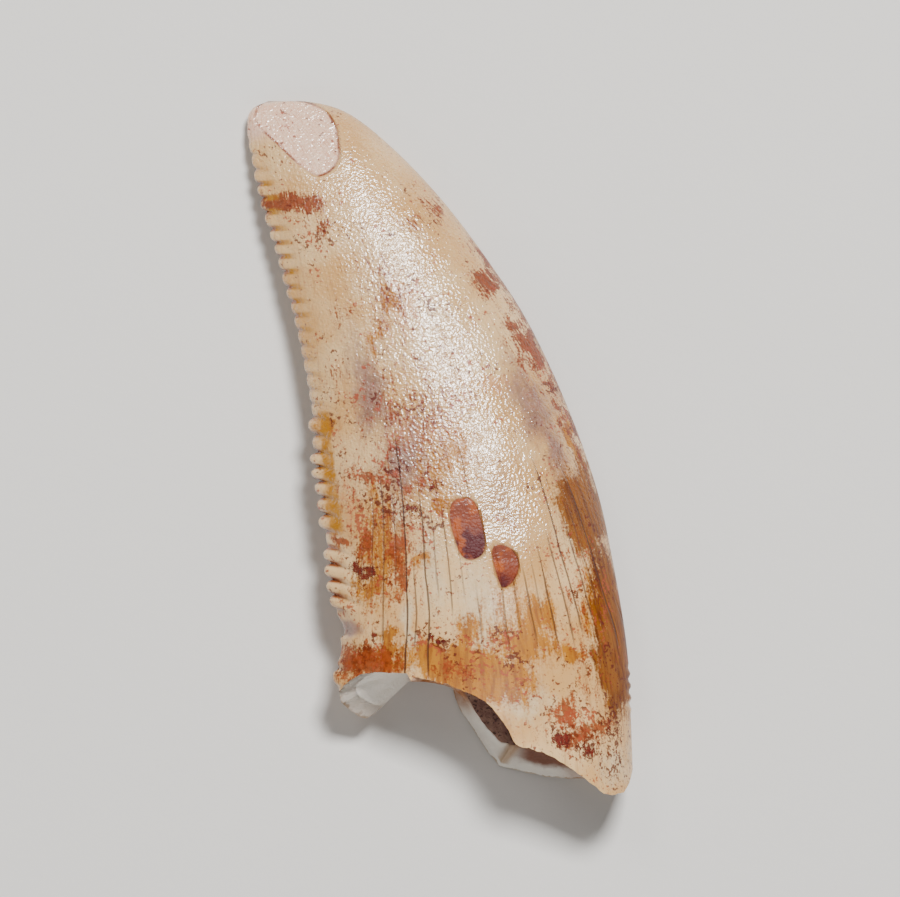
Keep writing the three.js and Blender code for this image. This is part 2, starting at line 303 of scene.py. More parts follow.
def cavity_across(along, angle):
    return CAVITY_MIDDLE - CAVITY_HALF_WIDTH * cavity_narrowing(along) * np.cos(angle)


def cavity_point(along, angle):
    across = cavity_across(along, angle)
    half_height = np.maximum(thickness(along) / 2 - WALL, 0.1) * cavity_narrowing(along)
    height = middle_height(along, across) + thickness(along) * (UPPER_SHARE - 0.5)
    height = height + half_height * np.sin(angle)
    return np.concatenate([plan_point(along, across), height[..., None]], axis=-1)


def row_lengths():
    """Shares along for the crown's regular rows, and how much surface lies above each."""
    shares = np.linspace(1, REGULAR_FROM, 2000)
    middle = plan_point(shares, np.full(shares.shape, 0.35))
    steps = np.linalg.norm(np.diff(middle, axis=0), axis=1)
    return np.concatenate([[0], np.cumsum(steps)]), shares


RUN_SO_FAR, RUN_SHARES = row_lengths()


def outer_share(row, rim):
    """The share along of a row of the flank, which may lie between two whole rows."""
    regular = np.interp(row / CROWN_ROWS * RUN_SO_FAR[-1], RUN_SO_FAR, RUN_SHARES)
    towards = np.clip((row - CROWN_ROWS) / RIM_ROWS, 0, 1)
    return np.where(row <= CROWN_ROWS, regular, REGULAR_FROM + (rim - REGULAR_FROM) * towards)


def column_angles():
    """Angles round the crown: close together at the rear edge, where the mesh is finest."""
    edge = np.arccos(1 - 2 * EDGE_ACROSS * (np.arange(1, EDGE_COLUMNS + 1) / EDGE_COLUMNS) ** 2)
    upper = np.linspace(edge[-1], math.pi, UPPER_COLUMNS + 1)[1:]
    lower = np.linspace(math.pi, math.tau - edge[-1], LOWER_COLUMNS + 1)[1:-1]
    angles = np.concatenate([[0], edge, upper, lower, math.tau - edge[::-1]])
    plain = np.zeros(len(upper) + len(lower), bool)
    return angles, np.concatenate([np.ones(EDGE_COLUMNS + 1, bool), plain, np.ones(EDGE_COLUMNS, bool)])


def crown_shell(dice):
    """The closed surface of the crown, its broken base and its hollow: facts for each point, and faces."""
    rims = {True: rim_curve(UPPER_RIM, dice), False: rim_curve(LOWER_RIM, dice)}
    rows = CROWN_ROWS + RIM_ROWS
    facts = {name: [] for name in ("point", "along", "across", "angle", "upper", "broken", "deep")}
    columns, count = [], 0
    for angle, is_fine in zip(*column_angles()):
        across = (1 - math.cos(angle)) / 2
        upper = bool(angle <= math.pi)
        rim = float(rims[upper](across))
        step = FINE if is_fine else 1
        along = outer_share(np.arange(step, rows * step + 1) / step, rim)
        outer = flank_point(along, np.full(len(along), across), upper)
        bevel = UPPER_BEVEL + (LOWER_BEVEL - UPPER_BEVEL) * (1 - math.sin(angle)) / 2
        over = cavity_across(rim, angle)
        blend = min(max(0.5 + RIM_BLEND * math.sin(angle), 0), 1)
        mouth = float(rims[False](over) * (1 - blend) + rims[True](over) * blend + bevel)
        inner_edge = cavity_point(np.array(mouth), np.array(angle))
        share = np.arange(1, BREAK_ROWS + 1) / BREAK_ROWS
        deep = np.arange(1, CAVITY_ROWS) / CAVITY_ROWS
        hollow_along = mouth + (CAVITY_TOP - mouth) * deep
        hollow = cavity_point(hollow_along, np.full(len(deep), angle))
        size = len(outer) + BREAK_ROWS + len(deep)
        facts["point"] += [outer, outer[-1] + (inner_edge - outer[-1]) * share[:, None], hollow]
        facts["along"] += [along, np.full(BREAK_ROWS, rim), hollow_along]
        facts["across"] += [np.full(size, across)]
        facts["angle"] += [np.full(size, angle)]
        facts["upper"] += [np.full(size, upper)]
        facts["broken"] += [np.zeros(len(outer)), share, np.ones(len(deep))]
        facts["deep"] += [np.zeros(len(outer) + BREAK_ROWS), deep]
        columns.append((count, step, len(outer)))
        count += size
    ends = {"point": [flank_point(np.array([1.0]), np.array([0.0]), True),
                      cavity_point(np.array([CAVITY_TOP]), np.array([0.0]))],
            "along": [[1], [CAVITY_TOP]], "across": [[0], [0.5]], "angle": [[0], [0]],
            "upper": [[True], [True]], "broken": [[0], [1]], "deep": [[0], [1]]}
    shell = {name: np.concatenate(facts[name] + ends[name]) for name in facts}
    faces, walls, sides = crown_faces(columns, count, rows)
    return shell, faces, walls, sides


def crown_faces(columns, tip, rows):
    """Faces between neighbouring columns of points. A fine column meets a plain one in long faces."""
    faces, walls, sides = [], [], []

    def add(wall, side, *face):
        faces.append(face)
        walls.append(wall)
        sides.append(side)

    inner = BREAK_ROWS + CAVITY_ROWS - 1
    for index, (here, here_step, here_outer) in enumerate(columns):
        there, there_step, there_outer = columns[(index + 1) % len(columns)]
        add(CROWN, index, tip, here, there)
        for row in range(rows):
            left = list(range(here + max(row * here_step - 1, 0), here + (row + 1) * here_step))
            right = list(range(there + max(row * there_step - 1, 0), there + (row + 1) * there_step))
            if here_step == there_step:
                for part in range(len(left) - 1):
                    add(CROWN, index, left[part], left[part + 1], right[part + 1], right[part])
            elif len(left) + len(right) > 2:
                add(CROWN, index, *left, *reversed(right))
        left, right = here + here_outer - 1, there + there_outer - 1
        for row in range(inner):
            wall = BREAK if row < BREAK_ROWS else HOLLOW
            add(wall, index, left + row, left + row + 1, right + row + 1, right + row)
        add(HOLLOW, index, left + inner, tip + 1, right + inner)
    return faces, walls, sides


def snap_to_outline(shell, outline, reach):
    """Slides the points of the upper flank that lie next to an outline onto it, so that it is crisp."""
    near = np.flatnonzero(shell["upper"] & (shell["broken"] == 0) & (shell["along"] < 0.99))
    depth, nearest = outline_depth(outline, shell["point"][near, :2])
    close = np.abs(depth) < reach
    near, nearest = near[close], nearest[close]
    along, across = locate(nearest, shell["along"][near], shell["across"][near])
    shell["point"][near] = flank_point(along, across, True)


def wear_crown(shell, dice):
    """Wears the flanks: the tip's facet, the two pits, soft flutes, chips and the resting flat."""
    facet, pits = rounded(FACET_OUTLINE), [rounded(LONG_PIT), rounded(SHORT_PIT)]
    for outline in (facet, *pits):
        snap_to_outline(shell, outline, OUTLINE_REACH)
    point, along, across, upper = (shell[name] for name in ("point", "along", "across", "upper"))
    x, y = point[:, 0].copy(), point[:, 1].copy()
    outer = shell["broken"] == 0
    flutes = ripple(x, y, 1.6, dice) * BROAD_FLUTES
    flutes = flutes + ripple(across * 46, along * 5, 5, dice) * FINE_FLUTES
    fade = smooth_step(across, 0.02, 0.12) * smooth_step(across, 0.99, 0.9) * smooth_step(along, 0.99, 0.93)
    point[:, 2] += flutes * fade * outer * np.where(upper, 1, -0.5)
    plane = FACET_HEIGHT + FACET_SLOPE[0] * (x - FACET_CENTRE[0]) + FACET_SLOPE[1] * (y - FACET_CENTRE[1])
    wrinkle = ripple(x * 1.5, y * 0.8, 0.32, dice) * smooth_step(x, -3.3, -2.7) * smooth_step(y, 6.7, 7.2)
    shell["facet"], _ = outline_depth(facet, point[:, :2])
    worn = (shell["facet"] > -1e-4) & upper & outer
    point[worn, 2] = np.minimum(point[worn, 2], (plane + FACET_WRINKLES * wrinkle)[worn])
    shell["facet"] = np.where(upper & outer, np.clip(shell["facet"], -1, 1), -1)
    shell["pit"], shell["pit_share"] = np.full(len(point), -1.0), np.zeros(len(point))
    for outline, darkest in zip(pits, PIT_DARKENING):
        depth, _ = outline_depth(outline, point[:, :2])
        sunk = (depth > -1e-4) & upper & outer
        low, high = outline[:, 1].min(), outline[:, 1].max()
        down = (high - y) / (high - low)
        sinks = PIT_SHALLOW_END + (1 - PIT_SHALLOW_END) * smooth_step(down, 0, 0.35)
        floor = PIT_DEPTH * (1 + 0.05 * ripple(x, y, 0.22, dice)) * sinks
        point[sunk, 2] -= floor[sunk]
        shell["pit"] = np.where(upper & outer, np.maximum(shell["pit"], depth), -1)
        shell["pit_share"] = np.where(depth > -0.2, darkest * down, shell["pit_share"])
    from_rear = across * crown_width(along)
    point[:, 0] += down_edge(CHIPS, y) * np.exp(-(from_rear / CHIP_REACH) ** 2) * outer
    bumps = FRONT_BUMPS * np.sin(y * 22) * smooth_step(y, -6.5, -6.0) * smooth_step(y, -5.0, -5.4)
    point[:, 0] += bumps * smooth_step(across, 0.985, 1) * outer
    rough = ripple(shell["angle"] * 3, shell["broken"] * 1.2, 0.5, dice) * BREAK_ROUGHNESS
    point[:, 1] += rough * np.sin(np.pi * shell["broken"]) * ~outer
    start, end = np.array(RIDGE_FROM), np.array(RIDGE_TO)
    share = np.clip((point[:, :2] - start) @ (end - start) / ((end - start) @ (end - start)), 0, 1)
    away = np.linalg.norm(point[:, :2] - start - share[:, None] * (end - start), axis=1)
    lower_inside = ~upper & (shell["broken"] > 0.15)
    point[:, 2] += RIDGE_HEIGHT * (1 - 0.75 * share) * np.exp(-(away / RIDGE_WIDTH) ** 2) * lower_inside
    shell["partition"] = np.exp(-(away / RIDGE_WIDTH / 1.8) ** 2) * lower_inside
    point[:, 2] = np.maximum(point[:, 2], 0)


# Cracks run with the crown's length. Each has its place across the crown, at the crown's base,
# then the shares along between which it shows, and how dark it is.
CRACKS = [
    (0.06, 0.24, 0.16, 0.4), (0.1, 0.3, 0.17, 0.4), (0.145, 0.32, 0.12, 0.6), (0.19, 0.3, 0.2, 0.4),
    (0.233, 0.37, 0.0, 1.0), (0.263, 0.225, 0.13, 0.7), (0.31, 0.31, 0.1, 0.9), (0.35, 0.3, 0.2, 0.5),
    (0.4, 0.29, 0.18, 0.7), (0.45, 0.28, 0.2, 0.4), (0.5, 0.205, 0.147, 0.5), (0.535, 0.37, 0.317, 0.7),
    (0.6, 0.26, 0.147, 0.6), (0.65, 0.24, 0.17, 0.5), (0.7, 0.24, 0.166, 0.8), (0.74, 0.25, 0.2, 0.5),
    (0.78, 0.264, 0.167, 0.9), (0.84, 0.28, 0.17, 0.8), (0.88, 0.354, 0.187, 0.9), (0.935, 0.293, 0.199, 0.8),
    (0.97, 0.33, 0.22, 0.5), (1.01, 0.35, 0.18, 0.9), (1.05, 0.22, 0.185, 0.7)]

# Stains by colour: where each patch lies seen from above, half its length and half its width,
# how far its length is turned from X in degrees, and how dense it is.
RUST_PATCHES = [
    (-3.52, 5.71, 0.66, 0.26, -5, 1), (-3.1, 5.66, 0.28, 0.28, 0, 1), (-2.73, 5.12, 0.35, 0.15, 80, 0.6),
    (1.1, 3.83, 0.38, 0.26, -50, 1), (1.69, 2.91, 0.25, 0.18, -50, 1), (2.0, 2.37, 0.45, 0.25, -55, 1),
    (2.2, 2.1, 0.3, 0.2, -60, 1), (2.6, 1.43, 0.35, 0.1, -65, 0.7),
    (1.2, 4.2, 0.85, 0.13, -53, 0.8), (2.1, 2.85, 0.8, 0.14, -61, 0.8), (2.78, 1.5, 0.7, 0.14, -65, 0.8),
    (3.3, 0.3, 0.65, 0.14, -69, 0.8), (-0.14, 5.6, 0.3, 0.15, -50, 0.7), (-0.7, 5.2, 0.35, 0.25, 0, 0.45),
    (-1.65, -0.8, 0.7, 0.3, 0, 0.7), (-0.47, -0.92, 0.5, 0.3, 0, 0.65), (-1.76, -2.33, 0.35, 0.2, 90, 0.8),
    (-0.94, -2.3, 0.45, 0.25, 85, 1), (-0.9, -3.0, 0.5, 0.22, 85, 1), (-1.7, -5.1, 0.8, 0.45, 0, 1),
    (0.35, -5.3, 0.6, 0.25, -10, 0.62), (2.94, -6.3, 0.45, 0.3, 80, 0.8), (3.2, -6.8, 0.6, 0.3, 0, 0.8),
    (3.64, -6.55, 0.35, 0.25, 0, 0.8), (2.8, 0.73, 0.5, 0.12, -68, 0.7), (3.2, -0.1, 0.45, 0.1, -70, 0.6),
    (-2.2, 3.1, 0.4, 0.25, 0, 0.35), (-2.35, 1.7, 0.45, 0.3, 0, 0.4), (-1.2, -2.0, 2.4, 1.1, 88, 0.4),
    (-2.32, -2.2, 0.17, 0.14, 0, 1.5), (-0.6, 0.6, 1.8, 1.3, 80, 0.4),
    (-1.2, 3.6, 1.8, 0.8, -75, 0.35), (3.3, -4.0, 3.2, 0.5, -80, 0.36)]
OCHRE_PATCHES = [
    (-2.66, 0.49, 0.24, 0.2, 0, 1), (-1.2, -4.7, 0.55, 0.15, 88, 0.9), (0.2, -5.0, 0.9, 0.35, 0, 1.1),
    (1.5, -5.3, 0.8, 0.35, -20, 0.85), (2.1, -4.45, 1.0, 0.55, 80, 0.75), (3.05, -4.87, 0.24, 0.2, 5, 1),
    (-0.05, -1.4, 0.2, 0.18, 0, 1), (-1.1, 3.5, 0.35, 0.3, 0, 0.7),
    (-1.5, 2.6, 0.5, 0.2, 80, 0.5), (4.3, -4.6, 1.6, 0.2, -85, 0.8), (3.08, 0.15, 0.9, 0.14, -71, 0.8),
    (-0.47, -2.8, 0.25, 0.15, 0, 0.7), (0.7, -5.45, 1.2, 0.45, -18, 1), (0.7, -4.3, 0.3, 0.5, 0, 0.6),
    (3.57, -3.6, 1.0, 0.3, -82, 0.6), (-0.47, 0.14, 0.7, 0.4, 0, 0.35), (-1.6, -3.4, 0.6, 0.35, 0, 0.6),
    (-1.4, -2.4, 1.6, 0.5, 88, 0.6), (1.6, -4.6, 1.6, 0.9, 85, 0.5),
    (0.1, -0.4, 1.0, 0.8, 60, 0.5), (-0.4, -4.9, 0.9, 0.4, 0, 0.6)]
UMBER_PATCHES = [
    (3.35, -1.6, 0.9, 0.38, -75, 1.3), (4.0, -3.9, 1.5, 0.32, -80, 1.3), (4.15, -5.3, 1.0, 0.28, -85, 1.2),
    (3.36, -0.56, 0.5, 0.12, -72, 0.7), (3.76, -4.9, 0.6, 0.2, -82, 0.7), (-1.65, -4.96, 0.6, 0.28, 0, 0.6)]
PLUM_PATCHES = [
    (-1.65, 1.3, 1.1, 0.4, -75, 0.9), (-0.82, -0.3, 0.8, 0.5, 80, 0.9), (2.23, 0.85, 1.1, 0.4, -62, 0.9),
    (2.7, -0.1, 0.8, 0.3, -65, 0.9), (-2.1, -4.3, 0.25, 0.17, 0, 1), (-4.35, 7.45, 0.3, 0.2, 0, 0.5),
    (1.4, -1.3, 0.7, 0.35, -75, 0.5)]
CHALK_PATCHES = [
    (-0.23, -2.9, 1.0, 0.35, -80, 0.8), (-0.7, -4.4, 0.85, 0.12, -88, 1), (0.94, -3.85, 1.0, 0.5, -80, 1),
    (2.0, -6.0, 0.6, 0.5, 0, 0.8), (4.1, -7.5, 0.6, 0.4, 0, 0.7), (-0.94, -1.6, 0.45, 0.2, -80, 0.6)]
MAROON_PATCHES = [
    (-1.48, -4.4, 0.12, 0.12, 0, 1), (2.8, -6.9, 0.2, 0.17, 0, 1), (3.48, -7.14, 0.22, 0.15, 0, 1),
    (-0.7, -1.46, 0.2, 0.14, 0, 0.8), (-0.14, -0.9, 0.12, 0.12, 0, 0.8), (-1.83, -2.9, 0.17, 0.1, -40, 1),
    (0.0, -4.56, 0.12, 0.08, 0, 0.8), (2.66, 1.25, 0.08, 0.05, 0, 1), (4.1, -6.9, 0.9, 0.3, -85, 0.36)]
PEACH_PATCHES = [
    (-0.94, 3.2, 0.8, 0.5, -70, 0.7), (1.2, 1.45, 0.35, 0.25, 0, 0.8), (-0.47, 0.4, 0.8, 0.5, 0, 0.8),
    (-2.2, -1.3, 1.4, 0.25, 97, 0.5)]
FRECKLE_PATCHES = [
    (-1.3, -1.0, 3.2, 1.5, 80, 0.8), (-0.3, 2.2, 2.2, 1.2, -70, 0.6), (0.9, -4.9, 2.2, 0.9, -20, 0.8),
    (3.6, -3.5, 2.6, 0.7, -80, 0.8), (1.2, 4.8, 2.4, 0.7, -58, 0.5), (-3.3, 5.3, 1.2, 0.7, -75, 0.6),
    (3.2, -6.6, 1.2, 0.9, -80, 1.0), (-1.8, -5.0, 0.9, 0.5, 0, 0.9), (2.9, 1.2, 2.4, 0.3, -64, 0.8),
    (-3.3, 7.6, 0.9, 0.35, 0, 0.5), (4.1, -6.9, 0.9, 0.3, -85, 1.15)]
STAINS = {
    "freckle": FRECKLE_PATCHES, "rust": RUST_PATCHES, "ochre": OCHRE_PATCHES, "umber": UMBER_PATCHES,
    "plum": PLUM_PATCHES, "chalk": CHALK_PATCHES, "maroon": MAROON_PATCHES, "peach": PEACH_PATCHES}
# How gold the enamel is at the denticles' roots, and how stained the notches, down the rear edge.
GOLD = [(0.9, 0), (0.7, 1), (-1.9, 1), (-2.05, 0), (-3.3, 0.1), (-3.5, 0.7), (-3.7, 0)]
NOTCH_TINT = [
    (7.0, 0), (6.6, 0.3), (6.2, 1), (3.0, 1), (2.6, 0.5), (0.8, 0.5), (0.5, 1), (-3.7, 1), (-4.0, 0)]
# Stains run on round the two edges of the crown, and fade out this far in under it.
STAINS_REACH_ROUND = (0.15, 0.9)
# The enamel's fibre, which cracks and streaks follow, fans out from the tip to the base.
FIBRE_SPREAD = 1.05
FIBRE_FROM = 0.1
CROWN_SPAN = 7.0
CROWN_LENGTH = 15.0


def patch_density(patches, x, y):
    """How densely a stain covers each place: a half at the edge of a full patch."""
    density = np.zeros(x.shape)
    for patch_x, patch_y, half_length, half_width, turn, strength in patches:
        cosine, sine = math.cos(math.radians(turn)), math.sin(math.radians(turn))
        ahead = ((x - patch_x) * cosine + (y - patch_y) * sine) / half_length
        aside = ((y - patch_y) * cosine - (x - patch_x) * sine) / half_width
        density = np.maximum(density, strength * np.exp(-math.log(2) * (ahead ** 2 + aside ** 2)))
    return density


def warped(x, y, dice):
    """The places shifted unevenly, so that a round patch comes out as ragged as a real stain."""
    shifts = [0.13 * ripple(x, y, 0.9, dice) + 0.07 * ripple(x, y, 0.35, dice) for _ in range(2)]
    return x + shifts[0], y + shifts[1]


def hidden_patches(patches, dice):
    """Patches of the same kinds and sizes, scattered over the flank that the tooth lies on."""
    scattered = []
    for _, _, half_length, half_width, _, strength in patches:
        along, across = dice.uniform(0.1, 0.95), dice.uniform(0.05, 0.95)
        x, y = plan_point(np.array(along), np.array(across))
        scattered.append((x, y, half_length, half_width, dice.uniform(-90, -60), strength))
    return scattered


def crown_marks(shell, dice):
    """The facts that the denticles and the finish are made from, one number or vector a point."""
    point, along, across, upper = (shell[name] for name in ("point", "along", "across", "upper"))
    x, y = point[:, 0], point[:, 1]
    rear = edge_curve(REAR_EDGE, along)
    towards_tip = edge_curve(REAR_EDGE, np.minimum(along + 0.002, 1)) - edge_curve(REAR_EDGE, along - 0.002)
    heading = np.arctan2(towards_tip[:, 0], -towards_tip[:, 1]) - DENTICLE_TILT
    marks = {
        "denticle": np.interp(-rear[:, 1], [-height for height in NOTCHES], range(len(NOTCHES))),
        "reach": across * crown_width(along),
        "stand": down_edge(STAND, rear[:, 1]) * (shell["broken"] == 0),
        "ridge_reach": down_edge(RIDGE_REACH, rear[:, 1]),
        "ridge_relief": down_edge(RIDGE_RELIEF, rear[:, 1]) * (shell["broken"] == 0),
        "notch_tint": down_edge(NOTCH_TINT, rear[:, 1]),
        "gold": down_edge(GOLD, rear[:, 1]),
        "outward": np.column_stack([np.cos(heading), np.sin(heading), np.zeros(len(heading))]),
        "facet": shell["facet"], "pit": shell["pit"], "pit_share": shell["pit_share"],
        "broken": shell["broken"], "partition": shell["partition"]}
    early = rear[:, 1] > NOTCHES[0]
    marks["denticle"][early] = (NOTCHES[0] - rear[early, 1]) / (NOTCHES[0] - NOTCHES[1])
    hidden = smooth_step(np.minimum(across, 1 - across) * crown_width(along), *STAINS_REACH_ROUND) * ~upper
    for name, patches in STAINS.items():
        stain_x, stain_y = warped(x, y, dice)
        below = patch_density(hidden_patches(patches, dice), stain_x, stain_y)
        marks[name] = patch_density(patches, stain_x, stain_y) * (1 - hidden) + below * hidden
    fibre = 0.5 + (across - 0.5) * np.exp(FIBRE_SPREAD * (along - FIBRE_FROM))
    bend = 0.0035 * ripple(across * 9, along * 15, 1.1, dice)
    fibre += bend + 0.0012 * ripple(across * 20, along * 15, 0.4, dice)
    places, highest, lowest, weights = (np.array(column) for column in zip(*CRACKS))
    stops = np.concatenate([[-1], places, [2]])
    phase = np.interp(fibre, stops, np.arange(len(stops)))
    nearest = np.clip(np.round(phase).astype(int) - 1, 0, len(places) - 1)
    start, end = lowest[nearest], highest[nearest]
    shows = smooth_step(along, start - 0.012, start + 0.012) * smooth_step(along, end + 0.02, end - 0.02)
    index = np.clip(phase.astype(int), 0, len(stops) - 2)
    marks["crack_phase"] = phase
    marks["crack_spacing"] = (stops[index + 1] - stops[index]) * CROWN_SPAN
    marks["crack_depth"] = shows * weights[nearest] * (1 - 0.4 * hidden)
    marks["fibre"] = np.column_stack([fibre * CROWN_SPAN, along * CROWN_LENGTH, point[:, 2]])
    return marks


def to_mesh(shell, faces, walls, marks):
    mesh = bpy.data.meshes.new("tooth")
    mesh.from_pydata((shell["point"] * MM).tolist(), [], faces)
    for name, values in marks.items():
        is_vector = values.ndim == 2
        attribute = mesh.attributes.new(name, "FLOAT_VECTOR" if is_vector else "FLOAT", "POINT")
        attribute.data.foreach_set("vector" if is_vector else "value", values.astype(np.float32).ravel())
    wall = mesh.attributes.new("wall", "INT", "FACE")
    wall.data.foreach_set("value", np.array(walls, np.int32))
    mesh.polygons.foreach_set("use_smooth", np.ones(len(faces), bool))
    mesh.update()
    return mesh


MARGIN = 0.005


def unwrap(mesh, shell, walls, sides):
    """Lays the crown's two flanks side by side, and the broken base and the hollow in a strip above."""
    corner_point = np.zeros(len(mesh.loops), np.int32)
    mesh.loops.foreach_get("vertex_index", corner_point)
    size = np.zeros(len(mesh.polygons), np.int32)
    mesh.polygons.foreach_get("loop_total", size)
    face = np.repeat(np.arange(len(size)), size)
    angles = np.append(column_angles()[0], math.tau)
    side = np.array(sides)[face]
    is_last = side == len(angles) - 2
    angle = shell["angle"][corner_point]
    angle = np.where(is_last & (angle == 0), math.tau, angle)
    is_end = corner_point >= len(shell["point"]) - 2
    angle = np.where(is_end, (angles[side] + angles[side + 1]) / 2, angle)
    upper = angles[side + 1] <= math.pi + 1e-9
    turned = np.where(upper, angle, math.tau - angle)
    share = 0.6 * (1 - np.cos(turned)) / 2 + 0.4 * turned / math.pi
    crown_u = np.where(upper, MARGIN + 0.485 * share, 1 - MARGIN - 0.485 * share)
    crown_v = MARGIN + 0.865 * shell["along"][corner_point]
    strip_u = MARGIN + (1 - 2 * MARGIN) * angle / math.tau
    strip_v = 0.885 + 0.04 * shell["broken"][corner_point] + 0.065 * shell["deep"][corner_point]
    is_crown = np.array(walls)[face] == CROWN
    places = np.column_stack([np.where(is_crown, crown_u, strip_u), np.where(is_crown, crown_v, strip_v)])
    layer = mesh.uv_layers.new(name="OFBake")
    layer.data.foreach_set("uv", places.astype(np.float32).ravel())


def add_node(tree, kind, inputs=None, **settings):
    """Adds a node, sets its settings, and fills or links its inputs."""
    node = tree.nodes.new(kind)
    for name, value in settings.items():
        setattr(node, name, value)
    for name, value in (inputs or {}).items():
        if isinstance(value, bpy.types.NodeSocket):
            tree.links.new(value, node.inputs[name])
        else:
            node.inputs[name].default_value = value
    return node


def serrate_rear_edge(materials):
    """The tree that raises the denticles of the rear edge and the ridges that run in from them."""
    tree = bpy.data.node_groups.new("serrate rear edge", "GeometryNodeTree")
    tree.interface.new_socket("Geometry", in_out="INPUT", socket_type="NodeSocketGeometry")
    tree.interface.new_socket("Geometry", in_out="OUTPUT", socket_type="NodeSocketGeometry")
    for name in ("Root length", "Roundness", "Notch depth", "Unevenness", "Ridge lean"):
        tree.interface.new_socket(name, in_out="INPUT", socket_type="NodeSocketFloat")
    tree.interface.new_socket("Seed", in_out="INPUT", socket_type="NodeSocketInt")
    given = add_node(tree, "NodeGroupInput")

    def read(name, kind="FLOAT"):
        return add_node(tree, "GeometryNodeInputNamedAttribute", {"Name": name}, data_type=kind).outputs[0]

    def maths(operation, *values):
        inputs = dict(enumerate(values))
        return add_node(tree, "ShaderNodeMath", inputs, operation=operation).outputs[0]

    def hump(count):
        from_middle = maths("ABSOLUTE", maths("MULTIPLY_ADD", maths("FRACT", count), 2.0, -1.0))
        return maths("SUBTRACT", 1.0, maths("POWER", from_middle, given.outputs["Roundness"]))

    def fade(distance, length):
        inputs = {"Value": distance, "From Min": 0.0, "From Max": length, "To Min": 1.0, "To Max": 0.0}
        return add_node(tree, "ShaderNodeMapRange", inputs, interpolation_type="SMOOTHSTEP").outputs[0]

    count, reach = read("denticle"), read("reach")
    wave = hump(count)
    luck = add_node(tree, "FunctionNodeRandomValue", {
        2: -1.0, 3: 1.0, "ID": maths("FLOOR", count), "Seed": given.outputs["Seed"]}, data_type="FLOAT")
    height = maths("MULTIPLY_ADD", luck.outputs[1], given.outputs["Unevenness"], 1.0)
    push = maths("MULTIPLY", maths("MULTIPLY", read("stand"), height), MM)
    notch = maths("MULTIPLY", maths("SUBTRACT", wave, 1.0), given.outputs["Notch depth"])
    push = maths("MULTIPLY", maths("MULTIPLY", push, maths("ADD", notch, 1.0)),
                 fade(reach, given.outputs["Root length"]))
    outward = add_node(tree, "ShaderNodeVectorMath", {
        0: read("outward", "FLOAT_VECTOR"), "Scale": push}, operation="SCALE")
    ridge_wave = hump(maths("SUBTRACT", count, maths("MULTIPLY", reach, given.outputs["Ridge lean"])))
    lift = maths("MULTIPLY", maths("MULTIPLY", read("ridge_relief"), MM), maths("SUBTRACT", ridge_wave, 0.6))
    lift = maths("MULTIPLY", lift, fade(reach, read("ridge_reach")))
    normal = add_node(tree, "GeometryNodeInputNormal").outputs[0]
    upward = add_node(tree, "ShaderNodeVectorMath", {0: normal, "Scale": lift}, operation="SCALE")
    offset = add_node(tree, "ShaderNodeVectorMath", {
        0: outward.outputs[0], 1: upward.outputs[0]}, operation="ADD")
    stored = add_node(tree, "GeometryNodeStoreNamedAttribute", {
        "Geometry": given.outputs["Geometry"], "Name": "gap", "Value": maths("SUBTRACT", 1.0, wave)},
        data_type="FLOAT", domain="POINT")
    moved = add_node(tree, "GeometryNodeSetPosition", {
        "Geometry": stored.outputs[0], "Offset": offset.outputs[0]})
    body = add_node(tree, "GeometryNodeRealizeInstances", {"Geometry": moved.outputs[0]}).outputs[0]
    for wall, material in enumerate(materials):
        chosen = add_node(tree, "FunctionNodeCompare", {2: read("wall", "INT"), 3: wall},
                          data_type="INT", operation="EQUAL")
        body = add_node(tree, "GeometryNodeSetMaterial", {
            "Geometry": body, "Selection": chosen.outputs[0], "Material": material}).outputs[0]
    add_node(tree, "NodeGroupOutput", {"Geometry": body})
    return tree


def serrated(mesh, materials, settings):
    """The mesh with its denticles raised, as a plain object at the origin."""
    blank = bpy.data.objects.new("crown", mesh)
    bpy.context.scene.collection.objects.link(blank)
    tree = serrate_rear_edge(materials)
    modifier = blank.modifiers.new("serrate", "NODES")
    modifier.node_group = tree
    for item in tree.interface.items_tree:
        if item.in_out == "INPUT" and item.name in settings:
            modifier[item.identifier] = settings[item.name]
    graph = bpy.context.evaluated_depsgraph_get()
    finished = bpy.data.meshes.new_from_object(blank.evaluated_get(graph), depsgraph=graph)
    blank.modifiers.remove(modifier)
    bpy.data.objects.remove(blank)
    piece = bpy.data.objects.new("fossil_tooth", finished)
    bpy.context.scene.collection.objects.link(piece)
    return piece


def linear(colour):
    """An sRGB hex colour as the linear numbers that the shader takes."""
    parts = [int(colour[index:index + 2], 16) / 255 for index in (1, 3, 5)]
    return (*[part / 12.92 if part <= 0.04045 else ((part + 0.055) / 1.055) ** 2.4 for part in parts], 1.0)


